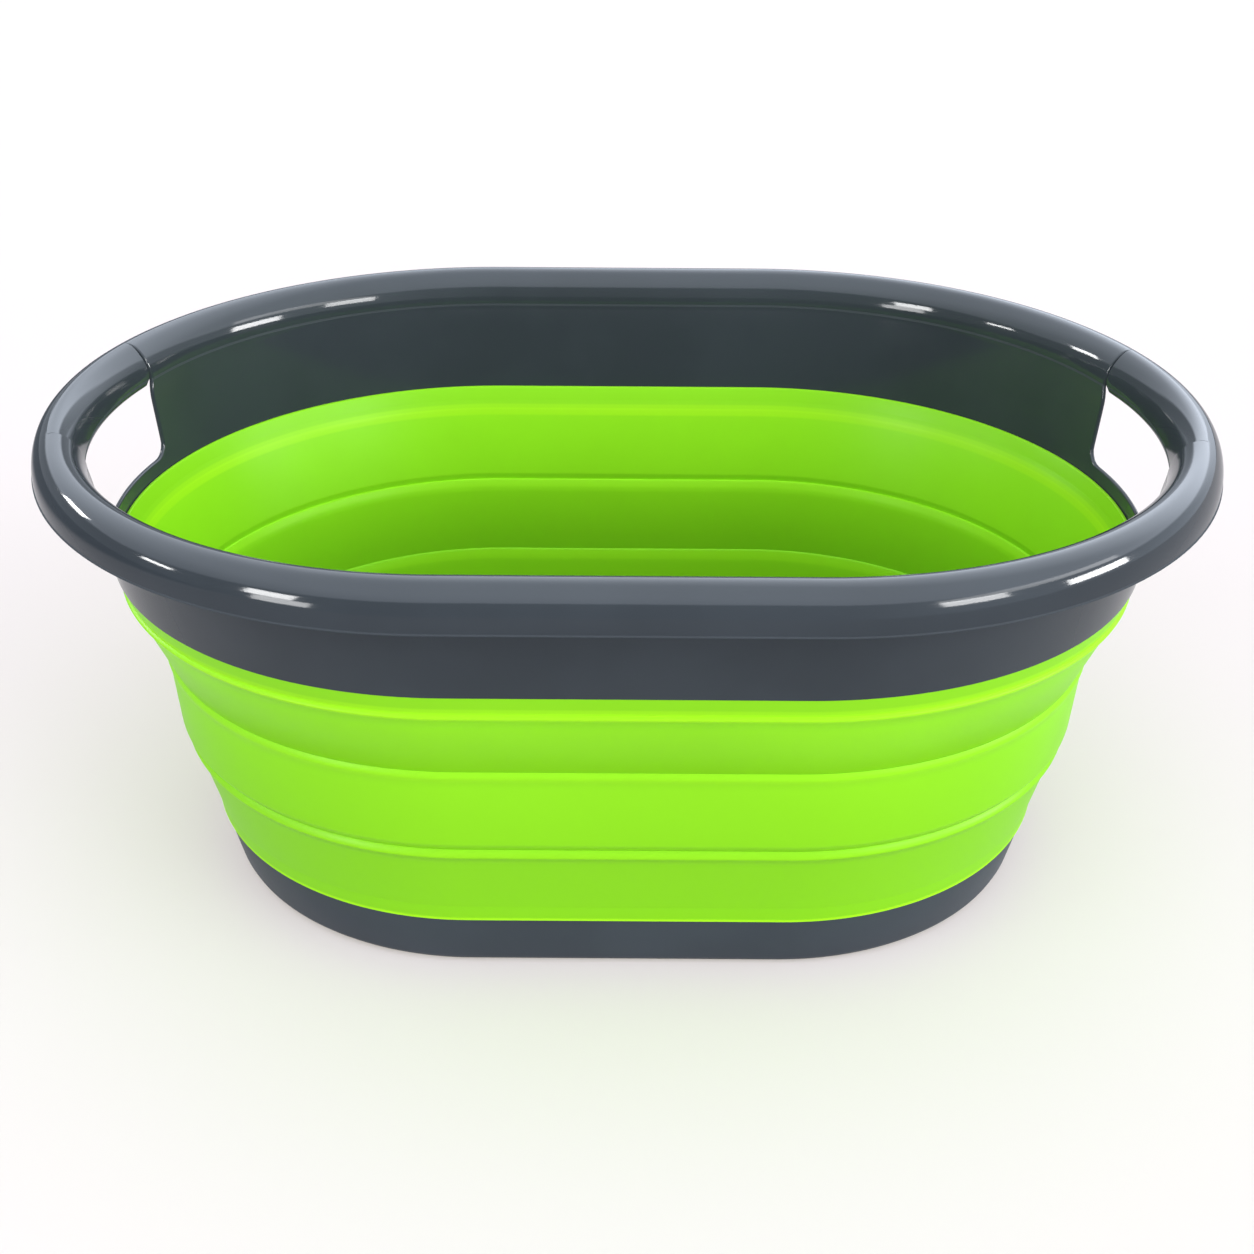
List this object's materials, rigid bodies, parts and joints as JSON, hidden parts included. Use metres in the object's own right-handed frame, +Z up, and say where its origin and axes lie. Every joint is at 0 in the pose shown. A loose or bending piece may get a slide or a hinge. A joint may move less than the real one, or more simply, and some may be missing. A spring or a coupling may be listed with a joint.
{
  "type": "collapsible laundry basket",
  "caption": "Oval collapsible laundry basket with a soft wall that folds down in two steps between a rigid base tray and a rolled rim with a hand opening at each end.",
  "frame": {"origin": "centre of the base's underside, on the floor", "axes": "+Z up, +X along the basket's length towards the right handle, +Y to the back"},
  "size_m": [0.6002, 0.4264, 0.2686],
  "materials": {
    "rim_plastic": "glossy moulded polypropylene, slate grey",
    "base_plastic": "satin moulded polypropylene, slate grey",
    "soft_green": "satin thermoplastic rubber, lime green"
  },
  "bodies": {
    "base": {"base_tray": "base_plastic", "lower_flange": "soft_green", "lower_fold": "soft_green"},
    "ring": {"middle_ring": "soft_green", "upper_fold": "soft_green"},
    "rim": {"upper_flange": "soft_green", "rim_frame": "rim_plastic", "left_handle_grip": "rim_plastic", "right_handle_grip": "rim_plastic"}
  },
  "joints": [
    {"name": "lower_fold_slide", "type": "slide", "parent": "base", "child": "ring", "axis": [0, 0, -1], "range_m": [0, 0.0846], "deforming": ["lower_fold"]},
    {"name": "upper_fold_slide", "type": "slide", "parent": "ring", "child": "rim", "axis": [0, 0, -1], "range_m": [0, 0.0882], "deforming": ["upper_fold"]}
  ]
}
